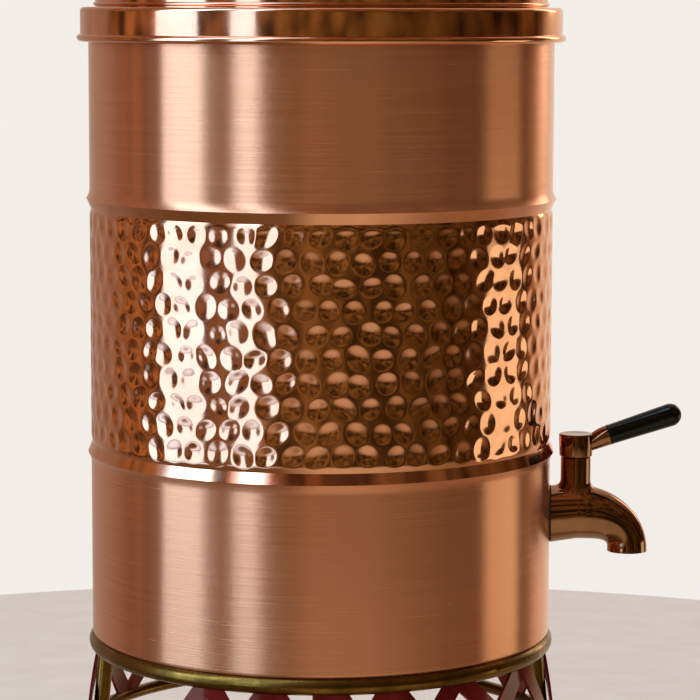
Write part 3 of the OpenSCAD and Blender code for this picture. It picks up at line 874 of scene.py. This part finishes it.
def room_colour(tree):
    """The room's light by direction: a ramp around the horizon, the floor below it and the ceiling above."""
    direction = tree.nodes.new("ShaderNodeTexCoord").outputs["Generated"]
    split = tree.nodes.new("ShaderNodeSeparateXYZ")
    link(tree, direction, split.inputs[0])
    front = math_node(tree, "MULTIPLY", split.outputs["Y"], -1.0)
    turn = math_node(tree, "ARCTAN2", split.outputs["X"], front)
    share = math_node(tree, "ADD", math_node(tree, "DIVIDE", turn, 2 * math.pi), 0.5)
    level = math_node(tree, "ADD", math_node(tree, "MULTIPLY", split.outputs["Z"], 0.5), 0.5)
    low = ramp(tree, level, 1.0, 0.0, *FLOOR_EDGE)
    near = ramp(tree, level, 1.0, 0.0, *NEAR_EDGE)
    high = ramp(tree, level, 0.0, 1.0, *CEILING_EDGE)
    walls = blend_colours(tree, high, direction_ramp(tree, share, ROOM), direction_ramp(tree, share, CEILING))
    patches = noise(tree, direction, scale=7.0, detail=3.0)
    clutter = ramp(tree, patches, 0.10, 1.0, start=0.38, end=0.64)
    clutter = math_node(tree, "MULTIPLY", clutter, CLUTTER_GAIN)
    walls = blend_colours(tree, direction_ramp(tree, share, CLUTTER), walls, clutter, "MULTIPLY")
    floor_far = direction_ramp(tree, share, FLOOR_FAR)
    floor_near = direction_ramp(tree, share, FLOOR_NEAR)
    floor = blend_colours(tree, near, floor_far, floor_near)
    return blend_colours(tree, low, walls, floor)


def world_light():
    """A plain pale backdrop for the camera, the room for gloss, and even light for everything else."""
    world = bpy.data.worlds.new("room")
    bpy.context.scene.world = world
    world.use_nodes = True
    tree = world.node_tree
    tree.nodes.remove(tree.nodes["Background"])
    path = tree.nodes.new("ShaderNodeLightPath")
    mirrored = background(tree, room_colour(tree))
    lit = mix_shaders(tree, path.outputs["Is Glossy Ray"], background(tree, AMBIENT), mirrored)
    shown = mix_shaders(tree, path.outputs["Is Camera Ray"], lit, background(tree, BACKDROP))
    link(tree, shown, tree.nodes["World Output"].inputs["Surface"])


def background(tree, colour):
    """A background shader of a plain colour or of a colour socket."""
    node = tree.nodes.new("ShaderNodeBackground")
    if isinstance(colour, tuple):
        node.inputs["Color"].default_value = (*colour, 1)
    else:
        link(tree, colour, node.inputs["Color"])
    return node.outputs[0]


def mix_shaders(tree, factor, first, second):
    node = tree.nodes.new("ShaderNodeMixShader")
    for socket, source in zip(node.inputs, (factor, first, second)):
        link(tree, source, socket)
    return node.outputs[0]


WINDOW_DISTANCE = 2.5


def window(name, azimuth, width, height, middle_z, radiance, colour):
    """A soft oblong light that faces the vessel. Azimuth 0 is the camera's side and +90 the tap's side."""
    light = bpy.data.lights.new(name, "AREA")
    light.shape = "RECTANGLE"
    light.size = width
    light.size_y = height
    light.energy = radiance * math.pi * width * height
    light.color = colour
    obj = bpy.data.objects.new(name, light)
    a = math.radians(azimuth)
    place = Vector((math.sin(a) * WINDOW_DISTANCE, -math.cos(a) * WINDOW_DISTANCE, middle_z))
    target = Vector((0, 0, middle_z))
    turn = (target - place).to_track_quat("-Z", "Y").to_matrix().to_4x4()
    obj.matrix_world = Matrix.Translation(place) @ turn
    obj.visible_camera = False
    bpy.context.scene.collection.objects.link(obj)


def ceiling_light(size, height, radiance, colour):
    """A wide soft light overhead."""
    light = bpy.data.lights.new("ceiling", "AREA")
    light.size = size
    light.energy = radiance * math.pi * size * size
    light.color = colour
    obj = bpy.data.objects.new("ceiling", light)
    obj.location = (0, 0, height)
    obj.visible_camera = False
    obj.visible_glossy = False
    bpy.context.scene.collection.objects.link(obj)


def studio_lights():
    """Two windows at the left, a lamp at the right, a window behind it and a light overhead."""
    window("window_left", azimuth=-70.2, width=1.04, height=2.4, middle_z=0.90, radiance=3.6,
           colour=(0.41, 0.70, 1.0))
    window("window_front_left", azimuth=-36, width=0.52, height=2.4, middle_z=0.90, radiance=3.5,
           colour=(0.41, 0.69, 0.98))
    window("lamp_right", azimuth=100, width=1.15, height=0.84, middle_z=-0.28, radiance=1.25,
           colour=(0.92, 0.96, 0.70))
    window("window_rear_right", azimuth=140, width=0.5, height=1.2, middle_z=1.1, radiance=2.2,
           colour=(1.0, 0.85, 0.60))
    ceiling_light(size=3.0, height=2.6, radiance=1.2, colour=(1.0, 0.97, 0.93))


# The photograph's camera: lens and sensor in millimetres, then its place in metres and its turns in degrees
LENS = 148.1
SENSOR_W = 36
EYE_DISTANCE = 1.37
EYE_ABOVE_SEAT = 0.301
EYE_TILT = 6.9
EYE_YAW = 0.577
EYE_ROLL = 0.15


def photo_camera():
    """The photograph's viewpoint, found from the vessel's edges."""
    data = bpy.data.cameras.new("photo_camera")
    data.sensor_width = SENSOR_W
    data.lens = LENS
    camera = bpy.data.objects.new("photo_camera", data)
    turn = Matrix.Rotation(-math.radians(EYE_YAW), 4, "Z")
    turn = turn @ Matrix.Rotation(math.pi / 2 - math.radians(EYE_TILT), 4, "X")
    turn = turn @ Matrix.Rotation(math.radians(EYE_ROLL), 4, "Z")
    camera.matrix_world = Matrix.Translation((0, -EYE_DISTANCE, SEAT_Z + EYE_ABOVE_SEAT)) @ turn
    bpy.context.scene.collection.objects.link(camera)
    bpy.context.scene.camera = camera


dress_carried_nodes()
vessel_wall()
lid_shell()
tap_body()
tap_handle()
lever_grip()
stage_floor()
world_light()
studio_lights()
photo_camera()
bpy.context.scene.view_settings.view_transform = "Standard"
